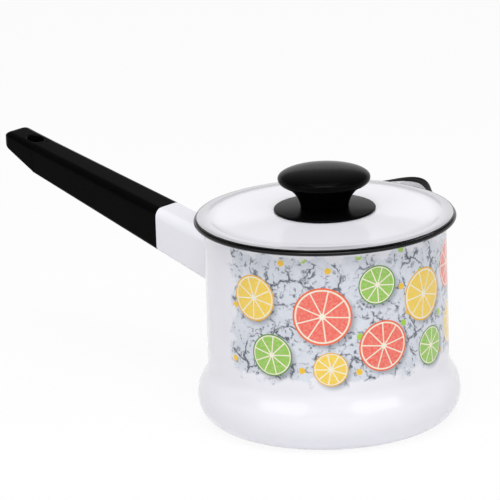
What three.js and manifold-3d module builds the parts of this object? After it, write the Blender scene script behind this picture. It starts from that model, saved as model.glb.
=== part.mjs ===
// Enamel saucepan with a pouring spout, a moulded grip and a lift-off lid.
// Millimetres, +Z up. The origin is the centre of the base, on the face that stands on the hob.
// The handle points along -X and rises towards its tip. The spout opens along +Y.
import * as THREE from 'three';
import { mergeVertices } from 'three/addons/utils/BufferGeometryUtils.js';
import Module from 'manifold-3d';

const wasm = await Module();
wasm.setup();

// Fits
const seatGap = 0.3; // between faces that rest on each other
const slipGap = 0.3; // around what enters a hole or a socket

// Pan shell, drawn from one sheet
const wallRadius = 69.1; // outside of the wall, under the rim
const panHeight = 118.9; // base to the top of the rolled rim
const panSheet = 1.2; // steel with enamel on both faces
const neckHeight = 35.5; // where the straight wall ends
const neckSwell = 0.5; // the wall is this much wider at the neck
const footHeight = 14.7; // the foot's widest ring
const footFlare = 6.2; // widest ring beyond the neck
const footTuck = 12.8; // flat base inside the widest ring
const footBulge = 0.55; // share of the flare that stays near the widest ring
const neckEase = 0.42; // share of the flare that runs out along the wall
const rimOverhang = 5.9; // rim edge beyond the wall
const rimBead = 1.1; // radius of the rolled edge
const rimBend = 4; // bend from the wall into the rim
const bendStop = 112; // degrees, where the bend meets the bead outside
const bendStopInside = 108;
const beadStart = 230; // degrees round the bead, from the bend outside to the bend inside
const beadStop = 510;

// Pouring spout, pressed out of the rim
const spoutReach = 10.5;
const spoutLift = 3; // its lip above the rim
const spoutHalfAngle = 19; // degrees either side of +Y
const spoutDrop = 27; // how far down the wall it fades out
const spoutRings = 3; // rings of the wall that follow the fade

// Handle line, from the wall to the tip
const handleDrop = 26.1; // top of the handle under the rim, at the wall
const handleRise = 12.4; // degrees
const handleLength = 179.5; // in plan, wall to tip
const rootWidth = 24;
const rootHeight = 30.1;
const tipWidth = 20;
const tipHeight = 15.3; // what the taper comes to at the tip
const rootUpperEdge = 6; // rounding of the two upper edges, at the wall
const tipUpperEdge = 4;
const lowerEdge = 3;
const edgeLimit = 0.48; // most of a side that a rounded edge may take

// Enamelled socket on the wall
const socketLength = 53.4; // in plan, wall to the joint with the grip
const socketWall = 1.5;

// Moulded grip
const tongueLength = 26; // enters the socket
const gripWall = 3;
const gripButt = 14; // left solid behind the joint
const tipThickness = 8.6;
const tipChamfer = 24.5; // length of the bevelled underside at the tip
const tipCorner = 5; // rounding of the tip in plan
const tipSteps = 4; // rings that shape it
const tipRound = 3.5; // rounding of the tip in side view
const hangHoleRadius = 5.5;
const hangHoleInset = 18.5; // centre of the hole from the tip

// Screw that holds the grip
const gripScrewInset = 14; // from the joint, towards the pan
const gripScrewShank = 1.6;
const gripScrewLength = 12;
const gripScrewHead = 3.4;
const gripScrewHeadHeight = 2;

// Pan heads of both screws, as shares of radius and height
const headCrown = 0.6; // radius where the crown turns down
const headCrownHeight = 0.9;
const headEdge = 0.4; // height of the upright edge

// Lid shell
const lidSheet = 1;
const lidInset = 1.1; // lid edge inside the rim's edge
const grooveClearance = 1.4; // centring groove inside the mouth
const grooveDepth = 0.5;
const grooveWidth = 0.9;
const grooveStep = 0.65; // of its width, between the rings that shape it
const domeRise = 2.1; // plateau above the rest flange
const plateauMargin = 0.8; // plateau beyond the skirt

// Knob and its skirt
const skirtRadius = 29.2;
const skirtEdge = 1.2;
const skirtHeight = 2.2; // at the neck
const knobFootRadius = 13.8;
const knobThroat = 12.4; // height of the waisted neck
const throatBow = 1.5; // how far the neck leans out before it spreads
const throatTurn = 0.68; // share of the neck where it spreads
const knobHeadRadius = 26.5;
const knobHeadUndercut = 3.3; // head beyond the top of the neck
const knobHeadSkirt = 3.9; // rounded side under the widest ring
const headTurn = 0.3; // share of that side where it comes upright
const knobCrown = 6; // dome above the widest ring
const crownFullness = 0.62; // 0.55 would be an ellipse

// Fixing of the knob
const screwShank = 2.1;
const screwLength = 13; // from the washer
const screwHead = 4.7;
const screwHeadHeight = 3;
const washerRadius = 7;
const washerThickness = 1;
const bushRadius = 4;
const bushLength = 9;
const bushGroove = 0.6; // waist that keys the bush in the moulding

// Facets
const panSides = 72;
const spoutCrowding = 0.4; // shifts the pan's facets towards the spout
const lidSides = 52;
const knobSides = 40;
const screwSides = 18;
const holeSides = 36;

const degree = Math.PI / 180;
const quarterTurn = Math.PI / 2;

// Heights and radii that follow from the sizes above
const neckRadius = wallRadius + neckSwell;
const footRadius = neckRadius + footFlare;
const rimRadius = wallRadius + rimOverhang;
const beadRadius = rimRadius - rimBead; // centre of the rolled edge
const beadHeight = panHeight - rimBead;
const bendHeight = beadHeight - rimBead - rimBend + panSheet / 2; // start of the rim's bend
const jointReach = wallRadius + socketLength; // axis of the pan to the joint in the handle
const tipReach = wallRadius + handleLength;
const handleTop = panHeight - handleDrop;
const riseSlope = Math.tan(handleRise * degree);
const undersideSlope = riseSlope + (rootHeight - tipHeight) / handleLength;
const lidSeat = panHeight + seatGap; // underside of the lid's rest flange
const flangeTop = lidSeat + lidSheet;
const lidRadius = rimRadius - lidInset;
const grooveRadius = wallRadius - panSheet - grooveClearance;
const plateauRadius = skirtRadius + plateauMargin;
const plateauTop = flangeTop + domeRise;
const skirtSeat = plateauTop + seatGap;
const knobSeat = skirtSeat + skirtHeight + seatGap;
const screwHole = screwShank + slipGap;
const washerTop = plateauTop - lidSheet - seatGap;
const screwSeat = washerTop - washerThickness - seatGap; // bearing face of the screw's head

const whiteEnamel = new THREE.MeshStandardMaterial({ color: '#eeedf2', roughness: 0.12, metalness: 0 });
const blackPhenolic = new THREE.MeshStandardMaterial({ color: '#151416', roughness: 0.22, metalness: 0 });
const zincSteel = new THREE.MeshStandardMaterial({ color: '#a9abad', roughness: 0.35, metalness: 1 });
const brass = new THREE.MeshStandardMaterial({ color: '#c3a04d', roughness: 0.35, metalness: 1 });

function piece(name, geometry, material) {
  const mesh = new THREE.Mesh(geometry, material);
  mesh.name = name;
  return mesh;
}

// Turns a profile of (radius, height) points about Z.
function turned(points, sides) {
  const geometry = new THREE.LatheGeometry(points, sides);
  geometry.rotateX(quarterTurn);
  return geometry;
}

function rodAlongZ(radius, length, sides) {
  const geometry = new THREE.CylinderGeometry(radius, radius, length, sides);
  geometry.rotateX(quarterTurn);
  return geometry;
}

// A closed skin through rings of equal length, capped at both ends.
function loft(rings) {
  const count = rings[0].length;
  const faces = [];
  for (let ring = 0; ring + 1 < rings.length; ring += 1) {
    for (let step = 0; step < count; step += 1) {
      const here = ring * count + step;
      const next = ring * count + ((step + 1) % count);
      faces.push(here, here + count, next, next, here + count, next + count);
    }
  }
  const last = (rings.length - 1) * count;
  for (let step = 1; step + 1 < count; step += 1) {
    faces.push(0, step, step + 1, last, last + step + 1, last + step);
  }
  const geometry = new THREE.BufferGeometry().setFromPoints(rings.flat());
  geometry.setIndex(faces);
  return geometry;
}

function toSolid(geometry) {
  const bare = new THREE.BufferGeometry();
  bare.setAttribute('position', geometry.getAttribute('position'));
  bare.setIndex(geometry.getIndex());
  const merged = mergeVertices(bare);
  const corners = merged.getIndex().array;
  const triVerts = [];
  for (let i = 0; i < corners.length; i += 3) {
    const triangle = [corners[i], corners[i + 1], corners[i + 2]];
    if (new Set(triangle).size === 3) {
      triVerts.push(...triangle);
    }
  }
  const mesh = new wasm.Mesh({
    numProp: 3,
    vertProperties: merged.getAttribute('position').array,
    triVerts: new Uint32Array(triVerts),
  });
  return new wasm.Manifold(mesh);
}

function toGeometry(solid) {
  const mesh = solid.getMesh();
  const geometry = new THREE.BufferGeometry();
  geometry.setAttribute('position', new THREE.BufferAttribute(mesh.vertProperties, 3));
  geometry.setIndex(new THREE.BufferAttribute(mesh.triVerts, 1));
  return geometry;
}

function point(radius, height) {
  return new THREE.Vector2(radius, height);
}

// Points of an arc about (radius, height), from one angle to another, in degrees.
function arc(radius, height, size, from, to, steps) {
  const clockwise = to < from;
  const curve = new THREE.EllipseCurve(radius, height, size, size, from * degree, to * degree, clockwise);
  return curve.getPoints(steps);
}

// The foot and wall of the shell: the outside at inset 0, the inside at the sheet's thickness.
// The wall has rings over the height of the spout, so that the spout fades out along it.
function shellSide(inset) {
  const tuck = new THREE.EllipseCurve(
    footRadius - footTuck, footHeight, footTuck - inset, footHeight - inset, -quarterTurn, 0,
  );
  const flare = new THREE.CubicBezierCurve(
    point(footRadius - inset, footHeight),
    point(footRadius - inset, footHeight + (neckHeight - footHeight) * footBulge),
    point(neckRadius - inset, neckHeight - (neckHeight - footHeight) * neckEase),
    point(neckRadius - inset, neckHeight),
  );
  const neck = point(neckRadius - inset, neckHeight);
  const bend = point(wallRadius - inset, bendHeight);
  const spoutFoot = (panHeight - spoutDrop - neckHeight) / (bendHeight - neckHeight);
  const wall = Array.from({ length: spoutRings }, (_, ring) => {
    const share = spoutFoot + ((1 - spoutFoot) * ring) / spoutRings;
    return neck.clone().lerp(bend, share);
  });
  return [point(0, inset), ...tuck.getPoints(5), ...flare.getPoints(6).slice(1), ...wall];
}

// Half a period of a cosine, squared: 1 at the middle, 0 at the ends.
function swell(share) {
  return Math.cos(quarterTurn * Math.min(1, Math.abs(share))) ** 2;
}

// Draws the wall and rim out and up along +Y, most at the top.
function pressSpout(geometry) {
  const position = geometry.getAttribute('position');
  const vertex = new THREE.Vector3();
  for (let i = 0; i < position.count; i += 1) {
    vertex.fromBufferAttribute(position, i);
    const radius = Math.hypot(vertex.x, vertex.y);
    const even = Math.atan2(vertex.x, vertex.y);
    const angle = even - spoutCrowding * Math.sin(even);
    const fade = swell((panHeight - vertex.z) / spoutDrop);
    const press = fade * swell(angle / (spoutHalfAngle * degree));
    const reach = radius > 0 ? radius + spoutReach * press : 0;
    position.setXYZ(i, reach * Math.sin(angle), reach * Math.cos(angle), vertex.z + spoutLift * press);
  }
}

function panShell() {
  const bendCentre = wallRadius + rimBend;
  const profile = [
    ...shellSide(0),
    ...arc(bendCentre, bendHeight, rimBend, 180, bendStop, 3),
    ...arc(beadRadius, beadHeight, rimBead, beadStart, beadStop, 6),
    ...arc(bendCentre, bendHeight, rimBend + panSheet, bendStopInside, 180, 3),
    ...shellSide(panSheet).reverse(),
  ];
  const geometry = turned(profile, panSides);
  pressSpout(geometry);
  return piece('pan_shell', geometry, whiteEnamel);
}

// The tapered line that socket and grip share: its size at a reach from the pan's axis.
function handleAt(reach) {
  const run = reach - wallRadius;
  const share = run / handleLength;
  return {
    reach,
    top: handleTop + run * riseSlope,
    width: rootWidth + (tipWidth - rootWidth) * share,
    height: rootHeight + (tipHeight - rootHeight) * share,
    upper: rootUpperEdge + (tipUpperEdge - rootUpperEdge) * share,
    lower: lowerEdge,
  };
}

function shrunk(size, by) {
  return {
    reach: size.reach,
    top: size.top - by,
    width: size.width - 2 * by,
    height: size.height - 2 * by,
    upper: Math.max(size.upper - by, seatGap),
    lower: Math.max(size.lower - by, seatGap),
  };
}

// A rounded rectangle across the handle, upper edges softer than the lower ones.
function sectionRing(size) {
  const most = edgeLimit * Math.min(size.width, size.height);
  const upper = Math.min(size.upper, most);
  const lower = Math.min(size.lower, most);
  const upperSide = size.width / 2 - upper;
  const lowerSide = size.width / 2 - lower;
  const outline = new THREE.Path();
  outline.absarc(upperSide, -upper, upper, 0, quarterTurn);
  outline.absarc(-upperSide, -upper, upper, quarterTurn, 2 * quarterTurn);
  outline.absarc(-lowerSide, lower - size.height, lower, 2 * quarterTurn, 3 * quarterTurn);
  outline.absarc(lowerSide, lower - size.height, lower, 3 * quarterTurn, 4 * quarterTurn);
  return outline.getPoints(2).map((p) => new THREE.Vector3(-size.reach, p.x, size.top + p.y));
}

function tube(sizes) {
  return toSolid(loft(sizes.map(sectionRing)));
}

// How far a corner of this radius has fallen back, at a distance from the end.
function roundOff(distance, radius) {
  const left = Math.max(0, radius - distance);
  return radius - Math.sqrt(radius ** 2 - left ** 2);
}

// The grip's outer size near the tip: rounded in plan and in side view, bevelled below.
function gripAt(reach) {
  const size = handleAt(reach);
  const fromTip = tipReach - reach;
  const bevelHeight = handleAt(tipReach - tipChamfer).height;
  if (fromTip < tipChamfer) {
    size.height = tipThickness + (bevelHeight - tipThickness) * (fromTip / tipChamfer);
  }
  const fall = roundOff(fromTip, tipRound);
  size.width -= 2 * roundOff(fromTip, tipCorner);
  size.top -= fall;
  size.height -= 2 * fall;
  return size;
}

// Reaches along the grip, close together where the tip rounds off.
function gripReaches(end) {
  const tip = Array.from({ length: tipSteps + 1 }, (_, step) => {
    const turn = quarterTurn * (1 - step / tipSteps);
    return tipReach - tipCorner * (1 - Math.cos(turn));
  });
  return [end, tipReach - tipChamfer, ...tip];
}

// The hollow under the grip, one wall inside its skin and open below.
function gripHollow() {
  const sizes = gripReaches(jointReach + gripButt).map((reach) => {
    const size = shrunk(gripAt(reach), gripWall);
    size.reach = Math.max(reach - gripWall, jointReach + gripButt);
    size.top = handleAt(size.reach).top - gripWall;
    size.width = Math.max(size.width, gripWall);
    size.height = 2 * rootHeight;
    return size;
  });
  return tube(sizes);
}

// Everything inside the wall's outer face, with the gap that the root keeps to it.
function wallCutter() {
  const gap = seatGap;
  const profile = [
    point(0, neckHeight),
    point(neckRadius + gap, neckHeight),
    point(wallRadius + gap, bendHeight),
    point(0, bendHeight),
  ];
  return toSolid(turned(profile, panSides * 2));
}

const gripScrewReach = jointReach - gripScrewInset;
const gripScrewTilt = Math.atan(undersideSlope);

// Places a shape made along +Z on the socket's underside, square to it.
function onUnderside(geometry) {
  const size = handleAt(gripScrewReach);
  geometry.rotateY(gripScrewTilt);
  geometry.translate(-gripScrewReach, 0, size.top - size.height);
  return geometry;
}

function gripScrewHole() {
  const length = 2 * (gripScrewLength + slipGap);
  return toSolid(onUnderside(rodAlongZ(gripScrewShank + slipGap, length, screwSides)));
}

function handleSocket() {
  const root = wallRadius - rootWidth / 4;
  const outside = tube([root, jointReach].map(handleAt));
  const inside = tube([root, jointReach + socketWall].map(handleAt).map((size) => shrunk(size, socketWall)));
  const solid = outside.subtract(inside).subtract(wallCutter()).subtract(gripScrewHole());
  return piece('handle_socket', toGeometry(solid), whiteEnamel);
}

function hangHole() {
  const size = handleAt(tipReach - hangHoleInset);
  const hole = rodAlongZ(hangHoleRadius, 2 * size.height, holeSides);
  hole.rotateY(handleRise * degree);
  hole.translate(-size.reach, 0, size.top);
  return toSolid(hole);
}

function handleGrip() {
  const butt = jointReach + seatGap;
  const body = tube(gripReaches(butt).map(gripAt));
  const tongueEnds = [jointReach - tongueLength, butt + gripButt / 2].map(handleAt);
  const tongue = tube(tongueEnds.map((size) => shrunk(size, socketWall + slipGap)));
  const solid = body.add(tongue).subtract(gripHollow()).subtract(hangHole()).subtract(gripScrewHole());
  return piece('handle_grip', toGeometry(solid), blackPhenolic);
}

// A pan head that points down from its bearing face.
function panHead(radius, height, seat) {
  return [
    point(0, seat - height),
    point(radius * headCrown, seat - height * headCrownHeight),
    point(radius, seat - height * headEdge),
    point(radius, seat),
  ];
}

function gripScrew() {
  const profile = [
    ...panHead(gripScrewHead, gripScrewHeadHeight, -seatGap),
    point(gripScrewShank, -seatGap),
    point(gripScrewShank, gripScrewLength - gripScrewShank),
    point(0, gripScrewLength),
  ];
  return piece('grip_screw', onUnderside(turned(profile, screwSides)), zincSteel);
}

// Upper face of the lid: rest flange, centring groove, low cone and plateau.
function lidTop(radius) {
  const climb = (grooveRadius - radius) / (grooveRadius - plateauRadius);
  const dome = domeRise * Math.min(1, Math.max(0, climb));
  const groove = grooveDepth * Math.exp(-(((radius - grooveRadius) / grooveWidth) ** 2));
  return flangeTop + dome - groove;
}

function lidShell() {
  const edge = lidSheet / 2;
  const around = [-3, -2, -1, 0, 1, 2, 3].map((k) => grooveRadius + k * grooveStep * grooveWidth);
  const radii = [screwHole, plateauRadius, ...around, lidRadius - edge];
  const under = radii.map((radius) => point(radius, lidTop(radius) - lidSheet));
  const over = radii.map((radius) => point(radius, lidTop(radius)));
  const rolledEdge = arc(lidRadius - edge, flangeTop - edge, edge, -90, 90, 4).slice(1, -1);
  const profile = [...under, ...rolledEdge, ...over.reverse(), under[0]];
  return piece('lid_shell', turned(profile, lidSides), whiteEnamel);
}

function knobSkirt() {
  const rounding = skirtEdge / 2;
  const profile = [
    point(screwHole, skirtSeat),
    ...arc(skirtRadius - rounding, skirtSeat + rounding, rounding, -90, 90, 4),
    point(knobFootRadius + rounding, skirtSeat + skirtHeight),
    point(screwHole, skirtSeat + skirtHeight),
    point(screwHole, skirtSeat),
  ];
  return piece('knob_skirt', turned(profile, knobSides), blackPhenolic);
}

// Mushroom head on a waisted neck, with a blind bore for the bush.
function knob() {
  const neckTop = knobSeat + knobThroat;
  const widest = neckTop + knobHeadSkirt;
  const bore = bushRadius + slipGap;
  const boreTop = knobSeat + bushLength + slipGap;
  const throat = new THREE.QuadraticBezierCurve(
    point(knobFootRadius, knobSeat),
    point(knobFootRadius + throatBow, knobSeat + knobThroat * throatTurn),
    point(knobHeadRadius - knobHeadUndercut, neckTop),
  );
  const side = new THREE.QuadraticBezierCurve(
    point(knobHeadRadius - knobHeadUndercut, neckTop),
    point(knobHeadRadius, neckTop + knobHeadSkirt * headTurn),
    point(knobHeadRadius, widest),
  );
  const crown = new THREE.CubicBezierCurve(
    point(knobHeadRadius, widest),
    point(knobHeadRadius, widest + knobCrown * crownFullness),
    point(knobHeadRadius * crownFullness, widest + knobCrown),
    point(0, widest + knobCrown),
  );
  const profile = [
    point(0, boreTop),
    point(bore, boreTop),
    point(bore, knobSeat),
    ...throat.getPoints(6),
    ...side.getPoints(4).slice(1),
    ...crown.getPoints(8).slice(1),
  ];
  return piece('knob', turned(profile, knobSides), blackPhenolic);
}

function knobInsert() {
  const top = knobSeat + bushLength;
  const band = bushLength / 3;
  const profile = [
    point(screwHole, knobSeat),
    point(bushRadius, knobSeat),
    point(bushRadius, knobSeat + band),
    point(bushRadius - bushGroove, knobSeat + band + bushGroove),
    point(bushRadius - bushGroove, top - band - bushGroove),
    point(bushRadius, top - band),
    point(bushRadius, top),
    point(screwHole, top),
    point(screwHole, knobSeat),
  ];
  return piece('knob_insert', turned(profile, screwSides), brass);
}

function screwWasher() {
  const profile = [
    point(screwHole, washerTop - washerThickness),
    point(washerRadius, washerTop - washerThickness),
    point(washerRadius, washerTop),
    point(screwHole, washerTop),
    point(screwHole, washerTop - washerThickness),
  ];
  return piece('screw_washer', turned(profile, knobSides / 2), zincSteel);
}

function knobScrew() {
  const profile = [
    ...panHead(screwHead, screwHeadHeight, screwSeat),
    point(screwShank, screwSeat),
    point(screwShank, washerTop + screwLength - screwShank),
    point(0, washerTop + screwLength),
  ];
  return piece('knob_screw', turned(profile, screwSides), zincSteel);
}

const pan = new THREE.Group();
pan.add(panShell(), handleSocket(), handleGrip(), gripScrew());

const lid = new THREE.Group();
lid.add(lidShell(), knobSkirt(), knob(), knobInsert(), screwWasher(), knobScrew());

const saucepan = new THREE.Group();
saucepan.add(pan, lid);

export default saucepan;
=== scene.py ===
import math

import bmesh
import bpy
from mathutils import Matrix, Quaternion, Vector
from mathutils.geometry import interpolate_bezier


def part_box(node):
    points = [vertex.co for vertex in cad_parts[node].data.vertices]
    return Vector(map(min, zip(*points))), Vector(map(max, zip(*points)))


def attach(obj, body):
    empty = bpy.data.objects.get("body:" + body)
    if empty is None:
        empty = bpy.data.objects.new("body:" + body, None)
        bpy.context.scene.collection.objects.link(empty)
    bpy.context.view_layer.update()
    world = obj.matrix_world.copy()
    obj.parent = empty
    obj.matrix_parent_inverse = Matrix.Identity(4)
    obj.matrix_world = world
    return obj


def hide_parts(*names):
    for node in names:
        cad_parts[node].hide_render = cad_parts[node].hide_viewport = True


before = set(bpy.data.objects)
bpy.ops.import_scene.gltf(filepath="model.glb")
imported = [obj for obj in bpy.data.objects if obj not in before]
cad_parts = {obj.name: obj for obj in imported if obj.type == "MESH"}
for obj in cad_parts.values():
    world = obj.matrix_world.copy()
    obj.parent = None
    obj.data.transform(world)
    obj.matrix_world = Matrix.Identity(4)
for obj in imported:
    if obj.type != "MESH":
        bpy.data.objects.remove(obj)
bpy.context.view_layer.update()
mm = 0.001
mergeGap = 0.001  # in millimetres, as the pieces are drawn
noiseSpan = (0.3, 0.7)  # most of what a noise texture gives lies between these


def nodeBox(name):
    low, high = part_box(name)
    return low / mm, high / mm  # the pieces below are drawn in millimetres


panLow, panHigh = nodeBox("pan_shell")
socketLow = nodeBox("handle_socket")[0]
gripLow = nodeBox("handle_grip")[0]
lidHigh = nodeBox("lid_shell")[1]
skirtLow, skirtHigh = nodeBox("knob_skirt")
knobLow, knobHigh = nodeBox("knob")
insertLow, insertHigh = nodeBox("knob_insert")
washerLow, washerHigh = nodeBox("screw_washer")
knobScrewLow, knobScrewHigh = nodeBox("knob_screw")


def linear(hexColour):
    parts = [int(hexColour[i:i + 2], 16) / 255 for i in (1, 3, 5)]
    return [c / 12.92 if c <= 0.04045 else ((c + 0.055) / 1.055) ** 2.4 for c in parts] + [1]


def addNode(tree, kind, links=None, **settings):
    node = tree.nodes.new(kind)
    for name, value in settings.items():
        setattr(node, name, value)
    for key, value in (links or {}).items():
        if isinstance(value, bpy.types.NodeSocket):
            tree.links.new(value, node.inputs[key])
        else:
            node.inputs[key].default_value = value
    return node


def newMaterial(name):
    material = bpy.data.materials.new(name)
    material.use_nodes = True
    material.node_tree.nodes.clear()
    return material, material.node_tree


def finishPiece(name, bm, material, body, node, wall=0, rounding=0):
    bmesh.ops.scale(bm, vec=(mm, mm, mm), verts=bm.verts)
    for face in bm.faces:
        face.smooth = True
    mesh = bpy.data.meshes.new(name)
    bm.to_mesh(mesh)
    bm.free()
    piece = bpy.data.objects.new(name, mesh)
    bpy.context.scene.collection.objects.link(piece)
    mesh.materials.append(material)
    if wall:
        sheet = piece.modifiers.new("wall", "SOLIDIFY")
        sheet.thickness, sheet.offset = wall * mm, -1
    if rounding:
        edges = piece.modifiers.new("soft edges", "BEVEL")
        edges.width, edges.segments = rounding * mm, 3
        edges.limit_method, edges.angle_limit = "ANGLE", math.radians(22)  # leaves the curves alone
        flats = piece.modifiers.new("true flats", "WEIGHTED_NORMAL")
        flats.keep_sharp = False
    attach(piece, body)
    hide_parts(node)
    print("made", name, len(mesh.polygons), "faces")


def once(items):
    return list(dict.fromkeys(items))  # keeps the order, which a set would change from run to run


def arcPoints(radius, height, size, start, end, steps):
    turns = [math.radians(start + (end - start) * k / steps) for k in range(steps + 1)]
    return [(radius + size * math.cos(t), height + size * math.sin(t)) for t in turns]


def bezierPoints(start, startHandle, endHandle, end, steps):
    corners = [Vector((p[0], 0, p[1])) for p in (start, startHandle, endHandle, end)]
    return [(p.x, p.z) for p in interpolate_bezier(*corners, steps + 1)]


def turnedShape(profile, steps, closed=False):
    bm = bmesh.new()
    verts = [bm.verts.new((r, 0, z)) for r, z in profile]
    pairs = list(zip(verts, verts[1:])) + ([(verts[-1], verts[0])] if closed else [])
    edges = [bm.edges.new(pair) for pair in pairs]
    bmesh.ops.spin(bm, geom=verts + edges, axis=(0, 0, 1), cent=(0, 0, 0), dvec=(0, 0, 0),
                   angle=math.tau, steps=steps, use_merge=True)
    bmesh.ops.remove_doubles(bm, verts=bm.verts, dist=mergeGap)
    bmesh.ops.recalc_face_normals(bm, faces=bm.faces)
    return bm


# vitreous enamel: white glass fired on steel, so a clear hard gloss over a cool white body
enamel = {
    "white": "#f0f0f6",
    "rimBlack": "#080708",
    "gloss": 0.5,
    "rimGloss": 0.18,  # lower than a glass has, to match the dark rim
    "edgeShadeTone": 0.62,  # painted shade: the white is drawn greyer next to the black edge, for the shade that falls there
    "roughness": 0.09,
    "ior": 1.66,  # above the 1.5 or so of such a glass, to match the highlights
    "cloudSize": 28.0,  # mm, faint unevenness of the white coat
    "cloudShade": 0.975,
    "peelSize": 9.0,  # mm, slow waves left by firing
    "peelBump": 0.03,
    "peelDepth": 0.4,  # mm
    "rimWave": 7.0,  # mm, wander of the dipped black edge
    "rimWander": 0.5,
    "rimBlur": 0.12,  # mm, softness of that edge
}

# transfer print: fruit slices on a veined ground, fired under the gloss
band = {
    "left": -121.0,  # mm round the wall from the side opposite the handle
    "right": 82.0,
    "low": 40.0,
    "high": 115.0,
    "ragged": 5.0,
    "pale": "#e9ecf3",
    "cool": "#c4cad6",
    "vein": "#3c4352",
    "veinSize": 15.0,
    "veinEdge": 0.07,
    "wanderSize": 9.0,  # mm, how far veins and edges stray
    "patchSize": 13.0,
    "patchEdge": (0.4, 0.52),
    "fleckSize": 3.4,
    "fleckEdge": (0.54, 0.64),
    "fleckDepth": 0.85,
    "fade": 4.0,
    "dotSpacing": 15.0,
    "dotRadius": 2.1,
    "dotSoftness": 0.5,
    "dotShare": 0.5,
    "dotColours": ("#f5c414", "#a3cf2c"),
    "greenFrom": 0.6,
    "pulpSize": 1.4,
    "pulpShade": 0.78,
    "pith": "#f6efd9",
    "kinds": {  # rind, flesh
        "grapefruit": ("#f0602f", "#f4503f"),
        "lemon": ("#efb400", "#f6cd00"),
        "lime": ("#4f8f10", "#86c322"),
    },
    "slices": [  # kind, round the wall, up, radius, turn
        ("lemon", -103, 88, 13.5, 0.3), ("lime", -92, 56, 12.5, 0.9),
        ("grapefruit", -62, 80, 17.0, 0.1), ("lemon", -58, 49, 10.0, 0.5),
        ("lime", -30, 96, 11.5, 0.2), ("grapefruit", -27, 60, 15.0, 0.7),
        ("lemon", 3, 84, 15.5, 0.4), ("lime", 9, 52, 11.5, 0.0),
        ("grapefruit", 37, 93, 14.5, 0.6), ("lemon", 40, 58, 13.5, 0.2),
        ("lime", 68, 76, 12.5, 0.8),
    ],
}

# one slice: edges are shares of its radius, and each fades in from the first to the second
fruit = {
    "segments": 9,
    "membrane": (0.3, 0.7),  # mm
    "outline": (1.0, 0.975),
    "rindEdge": (0.94, 0.91),
    "pithEdge": (0.89, 0.85),
    "core": (0.07, 0.14),
    "shadowShift": (1.6, -1.8, 0),  # mm
    "shadowEdge": (2.2, -2.5),  # mm
    "shadowDepth": 0.55,
}


def sliceGroup():
    group = bpy.data.node_groups.new("fruit slice", "ShaderNodeTree")
    for name, kind in (("Under", "Color"), ("Place", "Vector"), ("Centre", "Vector"),
                       ("Radius", "Float"), ("Turn", "Float"), ("Grain", "Float"),
                       ("Rind", "Color"), ("Flesh", "Color"), ("Pith", "Color")):
        group.interface.new_socket(name, in_out="INPUT", socket_type="NodeSocket" + kind)
    group.interface.new_socket("Colour", in_out="OUTPUT", socket_type="NodeSocketColor")
    given = addNode(group, "NodeGroupInput").outputs
    local = addNode(group, "ShaderNodeVectorMath", {
        0: given["Place"], 1: given["Centre"]}, operation="SUBTRACT").outputs[0]
    away = addNode(group, "ShaderNodeVectorMath", {0: local}, operation="LENGTH").outputs["Value"]
    share = addNode(group, "ShaderNodeMath", {
        0: away, 1: given["Radius"]}, operation="DIVIDE").outputs[0]
    sides = addNode(group, "ShaderNodeSeparateXYZ", {0: local}).outputs
    angle = addNode(group, "ShaderNodeMath", {
        0: sides["Y"], 1: sides["X"]}, operation="ARCTAN2").outputs[0]
    sector = addNode(group, "ShaderNodeMath", {
        0: angle, 1: fruit["segments"] / math.tau, 2: given["Turn"]}, operation="MULTIPLY_ADD").outputs[0]
    inside = addNode(group, "ShaderNodeMath", {0: sector, 1: 0.5}, operation="PINGPONG").outputs[0]
    toSkin = addNode(group, "ShaderNodeMath", {0: inside, 1: away}, operation="MULTIPLY").outputs[0]
    within = {}
    for part, measure in (("membrane", toSkin), ("pithEdge", share), ("core", share),
                          ("rindEdge", share), ("outline", share)):
        within[part] = addNode(group, "ShaderNodeMapRange", {
            "Value": measure, "From Min": fruit[part][0], "From Max": fruit[part][1]},
            interpolation_type="SMOOTHSTEP").outputs[0]
    pulp = given["Grain"]
    for part in ("membrane", "pithEdge", "core"):
        pulp = addNode(group, "ShaderNodeMath", {0: pulp, 1: within[part]}, operation="MULTIPLY").outputs[0]
    cast = addNode(group, "ShaderNodeVectorMath", {
        0: local, 1: fruit["shadowShift"]}, operation="SUBTRACT").outputs[0]
    cast = addNode(group, "ShaderNodeVectorMath", {0: cast}, operation="LENGTH").outputs["Value"]
    cast = addNode(group, "ShaderNodeMath", {
        0: cast, 1: given["Radius"]}, operation="SUBTRACT").outputs[0]
    cast = addNode(group, "ShaderNodeMapRange", {
        "Value": cast, "From Min": fruit["shadowEdge"][0], "From Max": fruit["shadowEdge"][1],
        "To Max": fruit["shadowDepth"]}, interpolation_type="SMOOTHSTEP").outputs[0]
    shaded = addNode(group, "ShaderNodeMix", {
        0: cast, 6: given["Under"], 7: linear(band["vein"])}, data_type="RGBA").outputs[2]
    piece = addNode(group, "ShaderNodeMix", {
        0: within["rindEdge"], 6: given["Rind"], 7: given["Pith"]}, data_type="RGBA").outputs[2]
    piece = addNode(group, "ShaderNodeMix", {
        0: pulp, 6: piece, 7: given["Flesh"]}, data_type="RGBA").outputs[2]
    colour = addNode(group, "ShaderNodeMix", {
        0: within["outline"], 6: shaded, 7: piece}, data_type="RGBA").outputs[2]
    addNode(group, "NodeGroupOutput", {"Colour": colour})
    return group


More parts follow.
